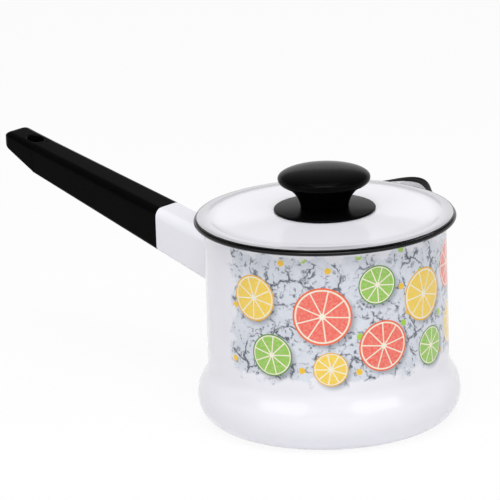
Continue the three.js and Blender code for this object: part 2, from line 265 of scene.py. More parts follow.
def printColour(tree, place, bare):
    axes = addNode(tree, "ShaderNodeSeparateXYZ", {0: place}).outputs
    angle = addNode(tree, "ShaderNodeMath", {0: axes["Y"], 1: axes["X"]}, operation="ARCTAN2").outputs[0]
    around = addNode(tree, "ShaderNodeMath", {
        0: angle, 1: pan["wallRadius"]}, operation="MULTIPLY").outputs[0]
    up = addNode(tree, "ShaderNodeMath", {0: axes["Z"], 1: 1 / mm}, operation="MULTIPLY").outputs[0]
    flat = addNode(tree, "ShaderNodeCombineXYZ", {"X": around, "Y": up}).outputs[0]  # mm on the wall
    wander = addNode(tree, "ShaderNodeTexNoise", {
        "Vector": flat, "Scale": 1 / band["wanderSize"], "Detail": 4.0, "Roughness": 0.6},
        noise_dimensions="2D")
    warped = addNode(tree, "ShaderNodeVectorMath", {
        0: wander.outputs["Color"], 1: (band["wanderSize"], band["wanderSize"], 0), 2: flat},
        operation="MULTIPLY_ADD").outputs[0]
    cracks = addNode(tree, "ShaderNodeTexVoronoi", {
        "Vector": warped, "Scale": 1 / band["veinSize"]},
        voronoi_dimensions="2D", feature="DISTANCE_TO_EDGE").outputs["Distance"]
    patches = addNode(tree, "ShaderNodeTexNoise", {
        "Vector": flat, "Scale": 1 / band["patchSize"], "Detail": 5.0, "Roughness": 0.7},
        noise_dimensions="2D").outputs["Fac"]
    line = addNode(tree, "ShaderNodeMapRange", {
        "Value": cracks, "From Min": band["veinEdge"], "From Max": 0.0},
        interpolation_type="SMOOTHSTEP").outputs[0]
    broken = addNode(tree, "ShaderNodeMapRange", {
        "Value": patches, "From Min": band["patchEdge"][0], "From Max": band["patchEdge"][1]}).outputs[0]
    vein = addNode(tree, "ShaderNodeMath", {0: line, 1: broken}, operation="MULTIPLY").outputs[0]
    fleck = addNode(tree, "ShaderNodeTexNoise", {
        "Vector": warped, "Scale": 1 / band["fleckSize"], "Detail": 3.0, "Roughness": 0.65},
        noise_dimensions="2D").outputs["Fac"]
    fleck = addNode(tree, "ShaderNodeMapRange", {
        "Value": fleck, "From Min": band["fleckEdge"][0], "From Max": band["fleckEdge"][1],
        "To Max": band["fleckDepth"]}).outputs[0]
    fleck = addNode(tree, "ShaderNodeMath", {0: fleck, 1: broken}, operation="MULTIPLY").outputs[0]
    vein = addNode(tree, "ShaderNodeMath", {0: vein, 1: fleck}, operation="MAXIMUM").outputs[0]
    ground = addNode(tree, "ShaderNodeMix", {
        0: patches, 6: linear(band["pale"]), 7: linear(band["cool"])}, data_type="RGBA").outputs[2]
    ground = addNode(tree, "ShaderNodeMix", {
        0: vein, 6: ground, 7: linear(band["vein"])}, data_type="RGBA").outputs[2]
    dots = addNode(tree, "ShaderNodeTexVoronoi", {
        "Vector": flat, "Scale": 1 / band["dotSpacing"], "Randomness": 0.75},
        voronoi_dimensions="2D").outputs
    dotSize = addNode(tree, "ShaderNodeMath", {
        0: dots["Distance"], 1: band["dotSpacing"]}, operation="MULTIPLY").outputs[0]
    dotMask = addNode(tree, "ShaderNodeMapRange", {
        "Value": dotSize, "From Min": band["dotRadius"],
        "From Max": band["dotRadius"] - band["dotSoftness"]},
        interpolation_type="SMOOTHSTEP").outputs[0]
    pick = addNode(tree, "ShaderNodeSeparateColor", {0: dots["Color"]}).outputs
    kept = addNode(tree, "ShaderNodeMath", {
        0: pick[0], 1: band["dotShare"]}, operation="LESS_THAN").outputs[0]
    dotMask = addNode(tree, "ShaderNodeMath", {0: dotMask, 1: kept}, operation="MULTIPLY").outputs[0]
    green = addNode(tree, "ShaderNodeMath", {
        0: pick[1], 1: band["greenFrom"]}, operation="GREATER_THAN").outputs[0]
    dotColour = addNode(tree, "ShaderNodeMix", {
        0: green, 6: linear(band["dotColours"][0]), 7: linear(band["dotColours"][1])},
        data_type="RGBA").outputs[2]
    ground = addNode(tree, "ShaderNodeMix", {
        0: dotMask, 6: ground, 7: dotColour}, data_type="RGBA").outputs[2]
    edge = addNode(tree, "ShaderNodeMath", {
        0: wander.outputs["Fac"], 1: 4 * band["ragged"], 2: -2 * band["ragged"]},
        operation="MULTIPLY_ADD").outputs[0]
    shown = None
    for measure, low, high in ((around, band["left"], band["right"]), (up, band["low"], band["high"])):
        apart = addNode(tree, "ShaderNodeMath", {
            0: measure, 1: (low + high) / 2}, operation="SUBTRACT").outputs[0]
        apart = addNode(tree, "ShaderNodeMath", {0: apart}, operation="ABSOLUTE").outputs[0]
        apart = addNode(tree, "ShaderNodeMath", {0: apart, 1: edge}, operation="ADD").outputs[0]
        within = addNode(tree, "ShaderNodeMapRange", {
            "Value": apart, "From Min": (high - low) / 2, "From Max": (high - low) / 2 - band["fade"]},
            interpolation_type="SMOOTHSTEP").outputs[0]
        shown = within if shown is None else addNode(tree, "ShaderNodeMath", {
            0: shown, 1: within}, operation="MULTIPLY").outputs[0]
    colour = addNode(tree, "ShaderNodeMix", {0: shown, 6: bare, 7: ground}, data_type="RGBA").outputs[2]
    grain = addNode(tree, "ShaderNodeTexNoise", {
        "Vector": flat, "Scale": 1 / band["pulpSize"], "Detail": 2.0}, noise_dimensions="2D").outputs["Fac"]
    grain = addNode(tree, "ShaderNodeMapRange", {
        "Value": grain, "From Min": 0.25, "From Max": 0.75, "To Min": band["pulpShade"]}).outputs[0]
    group = sliceGroup()
    for kind, x, y, radius, turn in band["slices"]:
        rind, flesh = band["kinds"][kind]
        piece = addNode(tree, "ShaderNodeGroup", node_tree=group)
        for key, value in {"Under": colour, "Place": flat, "Grain": grain}.items():
            tree.links.new(value, piece.inputs[key])
        for key, value in {"Centre": (x, y, 0), "Radius": radius, "Turn": turn, "Rind": linear(rind),
                           "Flesh": linear(flesh), "Pith": linear(band["pith"])}.items():
            piece.inputs[key].default_value = value
        colour = piece.outputs["Colour"]
    outside = addNode(tree, "ShaderNodeAttribute", attribute_name="outside").outputs["Fac"]
    return addNode(tree, "ShaderNodeMix", {0: outside, 6: bare, 7: colour}, data_type="RGBA").outputs[2]


def enamelMaterial(name, edgeShadeReach=0, printed=False):
    material, tree = newMaterial(name)
    place = addNode(tree, "ShaderNodeTexCoord").outputs["Object"]
    cloud = addNode(tree, "ShaderNodeTexNoise", {
        "Vector": place, "Scale": 1 / (enamel["cloudSize"] * mm), "Detail": 3.0})
    shade = addNode(tree, "ShaderNodeMapRange", {
        "Value": cloud.outputs["Fac"], "From Min": noiseSpan[0], "From Max": noiseSpan[1],
        "To Min": enamel["cloudShade"], "To Max": 1.0})
    body = addNode(tree, "ShaderNodeVectorMath", {
        0: linear(enamel["white"])[:3], "Scale": shade.outputs["Result"]}, operation="SCALE").outputs[0]
    gloss = enamel["gloss"]
    if printed:
        body = printColour(tree, place, body)
    if edgeShadeReach:  # only a piece with a black edge has one
        run = addNode(tree, "ShaderNodeAttribute", attribute_name="rimRun").outputs["Fac"]
        # painted shade: the white darkens towards the black edge over that reach
        edgeShade = addNode(tree, "ShaderNodeMapRange", {
            "Value": run, "From Max": edgeShadeReach, "To Min": enamel["edgeShadeTone"]},
            interpolation_type="SMOOTHSTEP").outputs[0]
        body = addNode(tree, "ShaderNodeVectorMath", {
            0: body, "Scale": edgeShade}, operation="SCALE").outputs[0]
        wave = addNode(tree, "ShaderNodeTexNoise", {
            "Vector": place, "Scale": 1 / (enamel["rimWave"] * mm), "Detail": 2.0}).outputs["Fac"]
        wave = addNode(tree, "ShaderNodeMath", {0: wave, 1: 0.5}, operation="SUBTRACT").outputs[0]
        wavy = addNode(tree, "ShaderNodeMath", {
            0: wave, 1: enamel["rimWander"], 2: run}, operation="MULTIPLY_ADD").outputs[0]
        mask = addNode(tree, "ShaderNodeMapRange", {
            "Value": wavy, "From Min": enamel["rimBlur"], "From Max": -enamel["rimBlur"]},
            interpolation_type="SMOOTHSTEP").outputs[0]
        body = addNode(tree, "ShaderNodeMix", {
            0: mask, 6: body, 7: linear(enamel["rimBlack"])}, data_type="RGBA").outputs[2]
        gloss = addNode(tree, "ShaderNodeMapRange", {
            "Value": mask, "To Min": gloss, "To Max": enamel["rimGloss"]}).outputs[0]
    peel = addNode(tree, "ShaderNodeTexNoise", {
        "Vector": place, "Scale": 1 / (enamel["peelSize"] * mm), "Detail": 2.0})
    bump = addNode(tree, "ShaderNodeBump", {
        "Height": peel.outputs["Fac"], "Strength": enamel["peelBump"],
        "Distance": enamel["peelDepth"] * mm})
    shader = addNode(tree, "ShaderNodeBsdfPrincipled", {
        "Base Color": body, "Roughness": enamel["roughness"], "IOR": enamel["ior"],
        "Specular IOR Level": gloss, "Normal": bump.outputs[0]})
    addNode(tree, "ShaderNodeOutputMaterial", {"Surface": shader.outputs[0]})
    return material


# phenolic resin: hot-pressed in a polished steel mould, black, smooth, faintly clouded
phenolic = {
    "black": "#040304",
    "grey": "#080708",
    "roughness": 0.15,
    "clouding": (0.03, 0.04),  # smoother and rougher than that
    "ior": 1.6,
    "specular": 0.022,  # far below a real resin's 0.5, to keep the photograph's deep black
    "flowSize": 14.0,
}


def phenolicMaterial(name):
    material, tree = newMaterial(name)
    place = addNode(tree, "ShaderNodeTexCoord").outputs["Object"]
    flow = addNode(tree, "ShaderNodeTexNoise", {
        "Vector": place, "Scale": 1 / (phenolic["flowSize"] * mm), "Detail": 4.0})
    colour = addNode(tree, "ShaderNodeMix", {
        0: flow.outputs["Fac"], 6: linear(phenolic["black"]), 7: linear(phenolic["grey"])},
        data_type="RGBA")
    blur = addNode(tree, "ShaderNodeMapRange", {
        "Value": flow.outputs["Fac"], "From Min": noiseSpan[0], "From Max": noiseSpan[1],
        "To Min": phenolic["roughness"] - phenolic["clouding"][0],
        "To Max": phenolic["roughness"] + phenolic["clouding"][1]})
    shader = addNode(tree, "ShaderNodeBsdfPrincipled", {
        "Base Color": colour.outputs[2], "Roughness": blur.outputs["Result"], "IOR": phenolic["ior"],
        "Specular IOR Level": phenolic["specular"]})
    addNode(tree, "ShaderNodeOutputMaterial", {"Surface": shader.outputs[0]})
    return material


# the pan: one drawn sheet, foot swelled out, rim rolled over, spout pressed
pan = {
    "steps": 240,
    "sheet": 1.2,
    "wallRadius": 69.1,
    "neckRadius": 69.6,
    "neckHeight": 35.5,
    "footHeight": 14.7,
    "footTuck": 12.8,
    "footBulge": 0.55,  # share of the flare that stays near the widest ring
    "neckEase": 0.42,  # share of the flare that runs out along the wall
    "baseRing": 30.0,
    "wallRings": 16,
    "rimRadius": 75.0,
    "rimBead": 1.1,
    "rimBend": 4.0,
    "bendStop": 112,  # degrees, where the bend meets the bead outside
    "bendStopInside": 108,
    "beadTurn": (230, 510),  # degrees round the bead
    "printFrom": 12.0,  # mm up, nothing is printed on the base
    "rimBlack": 0.7,  # beyond the rolled edge
    "edgeShadeReach": 4.5,  # mm of painted shade below that
    "spoutLift": 3.0,
    "spoutHalfAngle": 19.0,
    "spoutDrop": 27.0,
    "spoutCrowding": 0.4,  # more steps of the turning go to the spout
    "spoutBlack": 6.0,  # the rim's black runs this much lower outside the spout
    "spoutLip": 2.6,  # and this much inside it
}
pan["height"] = panHigh.z - pan["spoutLift"]
pan["footRadius"] = -panLow.y
pan["spoutReach"] = panHigh.y - pan["rimRadius"]

whiteEnamel = enamelMaterial("white vitreous enamel")
panEnamel = enamelMaterial("white vitreous enamel with print and black rim",
                           edgeShadeReach=pan["edgeShadeReach"], printed=True)
blackPhenolic = phenolicMaterial("black pressed phenolic")


def shellSide(inset):
    footRadius, footHeight = pan["footRadius"], pan["footHeight"]
    neckRadius, neckHeight = pan["neckRadius"], pan["neckHeight"]
    tuck = pan["footTuck"]
    bulge = [(footRadius - tuck + (tuck - inset) * x, footHeight - (footHeight - inset) * y)
             for x, y in arcPoints(0, 0, 1, 90, 0, 14)]
    rise = neckHeight - footHeight
    flare = bezierPoints(
        (footRadius - inset, footHeight), (footRadius - inset, footHeight + pan["footBulge"] * rise),
        (neckRadius - inset, neckHeight - pan["neckEase"] * rise), (neckRadius - inset, neckHeight), 18)
    return [(0, inset), (pan["baseRing"], inset)] + bulge + flare[1:]


def swell(share):
    return math.cos(math.pi / 2 * min(1, abs(share))) ** 2


def makePan():
    bead, bend = pan["rimBead"], pan["rimBend"]
    beadRadius, beadHeight = pan["rimRadius"] - bead, pan["height"] - bead
    bendRadius = pan["wallRadius"] + bend
    bendHeight = beadHeight - bead - bend + pan["sheet"] / 2
    low, rings = pan["neckHeight"], pan["wallRings"]
    wall = [(pan["neckRadius"] + (pan["wallRadius"] - pan["neckRadius"]) * k / rings,
             low + (bendHeight - low) * k / rings) for k in range(1, rings)]
    inner = [(r - pan["sheet"], z) for r, z in wall]
    profile = (shellSide(0) + wall + arcPoints(bendRadius, bendHeight, bend, 180, pan["bendStop"], 8)
               + arcPoints(beadRadius, beadHeight, bead, *pan["beadTurn"], 20)
               + arcPoints(bendRadius, bendHeight, bend + pan["sheet"], pan["bendStopInside"], 180, 8)
               + inner[::-1] + shellSide(pan["sheet"])[::-1])
    bm = turnedShape(profile, pan["steps"])
    run = bm.verts.layers.float.new("rimRun")
    outside = bm.verts.layers.float.new("outside")
    half = math.radians(pan["spoutHalfAngle"])
    for vert in bm.verts:
        radius = math.hypot(vert.co.x, vert.co.y)
        even = math.atan2(vert.co.x, vert.co.y)
        angle = even - pan["spoutCrowding"] * math.sin(even)
        across = swell(angle / half)
        press = across * swell((pan["height"] - vert.co.z) / pan["spoutDrop"])
        skin = pan["wallRadius"] - radius
        if vert.co.z > bendHeight:
            skin = math.hypot(radius - bendRadius, vert.co.z - bendHeight) - bend
        inside = skin > pan["sheet"] / 2 and radius < beadRadius - bead
        vert[outside] = float(not inside and vert.co.z > pan["printFrom"])
        fromBead = math.hypot(radius - beadRadius, vert.co.z - beadHeight) - bead
        spread = pan["spoutLip"] if inside else pan["spoutBlack"]
        vert[run] = fromBead - pan["rimBlack"] - spread * across
        if radius > 0:
            reach = radius + pan["spoutReach"] * press
            vert.co.x, vert.co.y = reach * math.sin(angle), reach * math.cos(angle)
            vert.co.z += pan["spoutLift"] * press
    finishPiece("pan_body", bm, panEnamel, "pan", "pan_shell")


makePan()

# the handle: a straight tapering bar, rising away from the pan
handle = {
    "rise": 12.4,  # degrees
    "dropFromRim": 26.1,
    "length": 179.5,
    "rootWidth": 24.0,
    "rootHeight": 30.1,
    "tipWidth": 20.0,
    "tipHeight": 15.3,
    "upperEdge": 5.4,  # at the joint between socket and grip
    "lowerEdge": 3.0,
}


def handleAt(reach):
    share = (reach - pan["wallRadius"]) / handle["length"]
    top = pan["height"] - handle["dropFromRim"]
    top += (reach - pan["wallRadius"]) * math.tan(math.radians(handle["rise"]))
    width = handle["rootWidth"] + (handle["tipWidth"] - handle["rootWidth"]) * share
    height = handle["rootHeight"] + (handle["tipHeight"] - handle["rootHeight"]) * share
    return reach, top, width, height


def handleSection(bm, reach):
    reach, top, width, height = handleAt(reach)
    ring = bmesh.ops.create_circle(bm, cap_ends=True, segments=4, radius=math.sqrt(0.5))["verts"]
    bmesh.ops.rotate(bm, verts=ring, matrix=Matrix.Rotation(math.pi / 4, 3, "Z"))
    bmesh.ops.scale(bm, vec=(height, width, 1), verts=ring)
    bmesh.ops.rotate(bm, verts=ring, matrix=Matrix.Rotation(math.pi / 2, 3, "Y"))
    bmesh.ops.translate(bm, vec=(-reach, 0, top - height / 2), verts=ring)
    upper = [v for v in ring if v.co.z > top - height / 2]
    lower = [v for v in ring if v.co.z < top - height / 2]
    for corners, size in ((upper, handle["upperEdge"]), (lower, handle["lowerEdge"])):
        bmesh.ops.bevel(bm, geom=corners, offset=size, offset_type="OFFSET", segments=8,
                        profile=0.5, affect="VERTICES", material=-1)
    return list(bm.faces)


def extrudeTo(bm, faces, start, end):
    moved = bmesh.ops.extrude_face_region(bm, geom=faces)["geom"]
    bmesh.ops.delete(bm, geom=faces, context="FACES")
    verts = [g for g in moved if isinstance(g, bmesh.types.BMVert)]
    (reach, top, width, height), (newReach, newTop, newWidth, newHeight) = start, end
    bmesh.ops.scale(bm, vec=(1, newWidth / width, newHeight / height), verts=verts,
                    space=Matrix.Translation((reach, 0, -top)))
    bmesh.ops.translate(bm, vec=(reach - newReach, 0, newTop - top), verts=verts)
    return [g for g in moved if isinstance(g, bmesh.types.BMFace)]


def sweep(bm, faces, stations):
    for here, there in zip(stations, stations[1:]):
        faces = extrudeTo(bm, faces, here, there)
    return faces


# the socket: enamelled steel tube, welded to the wall
socket = {"wall": 1.5, "weld": 0.7, "weldLength": 1.6, "edge": 0.5, "ring": 18.0}


def makeSocket():
    bm = bmesh.new()
    joint, wall = -socketLow.x, pan["wallRadius"]
    ring = socket["ring"]
    reaches = [joint, joint - ring, joint - 2 * ring, wall + socket["weldLength"], wall]
    cap = handleSection(bm, joint)
    ends = sweep(bm, cap, [handleAt(reach) for reach in reaches])
    root = once(v for face in ends for v in face.verts)
    _, top, width, height = handleAt(wall)
    bmesh.ops.scale(bm, vec=(1, 1 + 2 * socket["weld"] / width, 1 + 2 * socket["weld"] / height),
                    verts=root, space=Matrix.Translation((0, 0, height / 2 - top)))
    for vert in root:  # the last ring lies on the wall
        lean = (pan["neckRadius"] - wall) * (pan["height"] - vert.co.z) / pan["height"]
        vert.co.x = -math.sqrt((wall + lean) ** 2 - vert.co.y ** 2)
    bmesh.ops.delete(bm, geom=[f for f in bm.faces if len(f.verts) > 4], context="FACES_ONLY")
    bmesh.ops.recalc_face_normals(bm, faces=bm.faces)
    finishPiece("handle_socket_tube", bm, whiteEnamel, "pan",
                "handle_socket", wall=socket["wall"], rounding=socket["edge"])


makeSocket()

# the grip: pressed phenolic, cored out below, bevelled and pierced at the tip
grip = {
    "gap": 0.3,
    "butt": 14.0,
    "wall": 3.0,
    "lip": 0.4,
    "tongue": 26.0,
    "tongueFit": 1.8,
    "tipThickness": 8.6,
    "tipChamfer": 24.5,
    "tipCorner": 5.0,
    "tipRound": 4.1,
    "tipSteps": 8,
    "holeInset": 18.5,
    "holeRadius": 5.1,
    "holeSteps": 48,
    "holeLip": 0.9,
    "holeMargin": (1.5, 2.0),  # of the ring of faces round the hole, towards the pan and the tip
    "pocketMargin": 0.5,
    "nearMiddle": 1.0,  # a face whose centre is this close to the middle plane lies across it
    "nearHole": 3.0,
    "facingDown": -0.6,
    "edge": 0.45,
}


def roundOff(distance, radius):
    left = max(0, radius - distance)
    return radius - math.sqrt(radius ** 2 - left ** 2)


def gripAt(fromTip):
    reach, top, width, height = handleAt(-gripLow.x - fromTip)
    chamfer, thickness = grip["tipChamfer"], grip["tipThickness"]
    if fromTip < chamfer:
        full = handleAt(-gripLow.x - chamfer)[3]
        height = thickness + (full - thickness) * fromTip / chamfer
    fall = roundOff(fromTip, grip["tipRound"])
    return reach, top - fall, width - 2 * roundOff(fromTip, grip["tipCorner"]), height - 2 * fall


def pierce(bm, face, place):
    border = list(face.edges)
    bmesh.ops.delete(bm, geom=[face], context="FACES_ONLY")
    ring = bmesh.ops.create_circle(bm, segments=grip["holeSteps"], radius=grip["holeRadius"], matrix=place)
    circle = once(e for v in ring["verts"] for e in v.link_edges)
    bmesh.ops.triangle_fill(bm, use_beauty=True, edges=border + circle)
    return circle


def makeGrip():
    bm = bmesh.new()
    tip, joint = -gripLow.x, -socketLow.x + grip["gap"]
    length, inset = tip - joint, grip["holeInset"]
    inner, outer = [grip["holeRadius"] + margin for margin in grip["holeMargin"]]
    pocketEnd = grip["tipCorner"] + grip["pocketMargin"]
    butt = handleSection(bm, joint)
    ends = [f for f in bmesh.ops.duplicate(bm, geom=butt)["geom"] if isinstance(f, bmesh.types.BMFace)]
    turns = [math.pi / 2 * (1 - k / grip["tipSteps"]) for k in range(grip["tipSteps"] + 1)]
    nose = [grip["tipCorner"] * (1 - math.cos(turn)) for turn in turns]
    along = [length, length - grip["butt"], grip["tipChamfer"], inset + inner, inset - outer, pocketEnd]
    sweep(bm, ends, [gripAt(fromTip) for fromTip in along + nose])
    bmesh.ops.remove_doubles(bm, verts=bm.verts, dist=mergeGap)
    bmesh.ops.recalc_face_normals(bm, faces=bm.faces)
    across = [f for f in bm.faces if abs(f.calc_center_median().y) < grip["nearMiddle"]]
    under = [f for f in across if f.normal.z < grip["facingDown"]
             and joint + grip["butt"] < -f.calc_center_median().x < tip - pocketEnd]
    bmesh.ops.inset_region(bm, faces=under, thickness=grip["lip"], use_even_offset=True)
    raised = bmesh.ops.extrude_face_region(bm, geom=under)["geom"]
    bmesh.ops.delete(bm, geom=under, context="FACES")
    for vert in [g for g in raised if isinstance(g, bmesh.types.BMVert)]:
        vert.co.z = handleAt(-vert.co.x)[1] - grip["wall"]
    bm.normal_update()
    tilt = Matrix.Rotation(math.radians(handle["rise"]), 4, "Y")
    centre = Vector((inset - tip, 0, handleAt(tip - inset)[1]))
    floor = centre - tilt @ Vector((0, 0, grip["wall"] * math.cos(math.radians(handle["rise"]))))
    near = [f for f in bm.faces if abs(f.calc_center_median().x - centre.x) < grip["nearHole"]
            and abs(f.calc_center_median().y) < grip["nearMiddle"]]
    top = max(near, key=lambda f: f.calc_center_median().z)
    ceiling = min(near, key=lambda f: f.calc_center_median().z)
    mouth = pierce(bm, top, Matrix.Translation(centre) @ tilt)
    outlet = pierce(bm, ceiling, Matrix.Translation(floor) @ tilt)
    bmesh.ops.bridge_loops(bm, edges=mouth + outlet)
    bmesh.ops.bevel(bm, geom=mouth, offset=grip["holeLip"], offset_type="OFFSET", segments=5,
                    profile=0.5, affect="EDGES", material=-1)
    back = [f for f in bm.faces if len(f.verts) > 8 and -f.calc_center_median().x < joint + 1]
    bmesh.ops.inset_region(bm, faces=back, thickness=grip["tongueFit"], use_even_offset=True)
    extrudeTo(bm, back, handleAt(joint), handleAt(joint - grip["tongue"]))
    bmesh.ops.recalc_face_normals(bm, faces=bm.faces)
    finishPiece("handle_grip_moulding", bm, blackPhenolic, "pan",
                "handle_grip", rounding=grip["edge"])


makeGrip()

# the lid: pressed sheet with a flange, a crease, a low cone and a flat for the knob
lid = {
    "steps": 200,
    "sheet": 1.0,
    "plateauRadius": 30.0,
    "rise": 2.1,
    "creaseRadius": 66.5,
    "creaseWidth": 1.6,  # the cone steepens here
    "creaseDepth": 0.36,
    "flangeLevel": 70.0,  # the flange climbs out of the crease to here
    "flangeFall": 0.36,  # and falls to the edge, where the sheet is pressed thinner
    "holeRadius": 2.4,
    "plateauRings": [10, 20],
    "coneRings": [38, 46, 54, 60],
    "edgeBlack": 0.7,
    "edgeShadeReach": 14.0,  # mm of painted shade inside that
}
lid["radius"] = lidHigh.x
lid["plateauTop"] = lidHigh.z
lid["flangeTop"] = lid["plateauTop"] - lid["rise"]
lid["coneEnd"] = lid["creaseRadius"] - lid["creaseWidth"]
lidEnamel = enamelMaterial("white vitreous enamel with black edge", edgeShadeReach=lid["edgeShadeReach"])


def ramp(value, start, end):
    return min(1, max(0, (value - start) / (end - start)))


def lidTop(radius):
    cone = lid["rise"] * ramp(radius, lid["plateauRadius"], lid["coneEnd"])
    crease = lid["creaseDepth"] * ramp(radius, lid["coneEnd"], lid["creaseRadius"])
    crease *= (1 - ramp(radius, lid["creaseRadius"], lid["flangeLevel"])) ** 2
    flange = lid["flangeFall"] * ramp(radius, lid["flangeLevel"], lid["radius"]) ** 2
    return lid["plateauTop"] - cone - crease - flange


def makeLid():
    seat = lid["flangeTop"] - lid["sheet"]
    edge = (lidTop(lid["radius"]) - seat) / 2
    outer, cone, crease = lid["radius"] - edge, lid["coneEnd"], lid["creaseRadius"]
    flat, level = lid["plateauRadius"], lid["flangeLevel"]
    radii = [lid["holeRadius"]] + lid["plateauRings"] + [flat - 2, flat, flat + 2] + lid["coneRings"]
    radii += [cone - 0.4, cone - 0.1, cone + 0.1, crease - 0.1, crease + 0.1, crease + 0.4]
    radii += [level - 2.5, level - 1.8, level - 1, level, level + 1, level + 2, outer - 0.5, outer]
    over = [(r, lidTop(r)) for r in radii]
    under = [(r, max(z - lid["sheet"], seat)) for r, z in over]
    rolled = arcPoints(outer, lidTop(outer) - edge, edge, 90, -90, 8)[1:-1]
    bm = turnedShape(over + rolled + under[::-1], lid["steps"], closed=True)
    run = bm.verts.layers.float.new("rimRun")
    for vert in bm.verts:
        vert[run] = lid["radius"] - lid["edgeBlack"] - math.hypot(vert.co.x, vert.co.y)
    finishPiece("lid_plate", bm, lidEnamel, "lid", "lid_shell")


makeLid()

# the knob and the disc under it
knob = {
    "steps": 144,
    "footRadius": 13.8,
    "throat": 12.4,
    "undercut": 3.3,
    "throatEase": (1.0, 5.6),  # out and up from the foot
    "throatRadius": 18.0,
    "throatRun": 2.7,
    "side": 3.9,
    "sideEase": 1.1,
    "sideTurn": (0.2, 0.53),  # shares of the side's height
    "fullness": 0.62,
    "holeRadius": 4.3,
    "boreTop": 9.3,
}
knob["headRadius"] = knobHigh.x


def makeKnob():
    foot, top = knobLow.z, knobHigh.z
    neckTop = foot + knob["throat"]
    widest = neckTop + knob["side"]
    under = knob["headRadius"] - knob["undercut"]
    head, (out, up), (low, high) = knob["headRadius"], knob["throatEase"], knob["sideTurn"]
    throat = bezierPoints((knob["footRadius"], foot), (knob["footRadius"] + out, foot + up),
                          (knob["throatRadius"], neckTop - knob["throatRun"]), (under, neckTop), 24)
    side = bezierPoints((under, neckTop), (head - knob["sideEase"], neckTop + low * knob["side"]),
                        (head, neckTop + high * knob["side"]), (head, widest), 14)
    crown = bezierPoints((head, widest), (head, widest + knob["fullness"] * (top - widest)),
                         (knob["fullness"] * head, top), (0, top), 30)
    bore = [(0, foot + knob["boreTop"]), (knob["holeRadius"], foot + knob["boreTop"]),
            (knob["holeRadius"], foot)]
    bm = turnedShape(bore + throat + side[1:] + crown[1:], knob["steps"])
    finishPiece("knob_head", bm, blackPhenolic, "lid", "knob")


makeKnob()

skirt = {"steps": 144, "edge": 1.2, "holeRadius": 2.4, "slope": (22.0, 1.55), "seat": 0.6}


def makeSkirt():
    low, high, outer = skirtLow.z, skirtHigh.z, skirtHigh.x
    rounding = skirt["edge"] / 2
    profile = [(skirt["holeRadius"], low)]
    profile += arcPoints(outer - rounding, low + rounding, rounding, -90, 90, 10)
    radius, rise = skirt["slope"]
    profile += [(radius, low + rise), (knob["footRadius"] + skirt["seat"], high)]
    profile += [(skirt["holeRadius"], high)]
    bm = turnedShape(profile, skirt["steps"], closed=True)
    finishPiece("knob_skirt_disc", bm, blackPhenolic, "lid", "knob_skirt")


makeSkirt()

# zinc plate: electroplated on steel, bright with a faint blue and straw tint, slightly blurred
zinc = {"blue": "#b9c0c8", "straw": "#c8c4b4", "roughness": 0.28, "blurSpread": 0.06, "tintSize": 2.5}
# brass: turned on a lathe, with the fine rings the tool leaves
brass = {"colour": "#c79f4e", "roughness": 0.22, "ringPitch": 0.35, "ringDepth": 0.03, "ringBump": 0.25}


def zincMaterial(name):
    material, tree = newMaterial(name)
    place = addNode(tree, "ShaderNodeTexCoord").outputs["Object"]
    tint = addNode(tree, "ShaderNodeTexNoise", {
        "Vector": place, "Scale": 1 / (zinc["tintSize"] * mm), "Detail": 3.0}).outputs["Fac"]
    colour = addNode(tree, "ShaderNodeMix", {
        0: tint, 6: linear(zinc["blue"]), 7: linear(zinc["straw"])}, data_type="RGBA").outputs[2]
    blur = addNode(tree, "ShaderNodeMapRange", {
        "Value": tint, "From Min": noiseSpan[0], "From Max": noiseSpan[1],
        "To Min": zinc["roughness"] - zinc["blurSpread"],
        "To Max": zinc["roughness"] + zinc["blurSpread"]}).outputs[0]
    shader = addNode(tree, "ShaderNodeBsdfPrincipled", {
        "Base Color": colour, "Metallic": 1.0, "Roughness": blur})
    addNode(tree, "ShaderNodeOutputMaterial", {"Surface": shader.outputs[0]})
    return material


def brassMaterial(name):
    material, tree = newMaterial(name)
    place = addNode(tree, "ShaderNodeTexCoord").outputs["Object"]
    rings = addNode(tree, "ShaderNodeTexWave", {  # the node makes 20 / tau waves at scale 1
        "Vector": place, "Scale": math.tau / (20 * brass["ringPitch"] * mm)},
        bands_direction="Z").outputs["Fac"]
    bump = addNode(tree, "ShaderNodeBump", {
        "Height": rings, "Strength": brass["ringBump"], "Distance": brass["ringDepth"] * mm})
    shader = addNode(tree, "ShaderNodeBsdfPrincipled", {
        "Base Color": linear(brass["colour"]), "Metallic": 1.0, "Roughness": brass["roughness"],
        "Normal": bump.outputs[0]})
    addNode(tree, "ShaderNodeOutputMaterial", {"Surface": shader.outputs[0]})
    return material


zincSteel = zincMaterial("bright zinc plate")
turnedBrass = brassMaterial("turned brass")

# screws: pan heads with a cross recess, pointing down
screw = {
    "steps": 48,
    "crown": (0.6, 0.8),  # shares of the head: how flat its top is, how round its shoulder
    "rim": 0.4,  # share of the head's height that stays straight
    "recessReach": 0.62,
    "recessWidth": 0.14,
    "recessDepth": 0.5,
    "edge": 0.12,
}


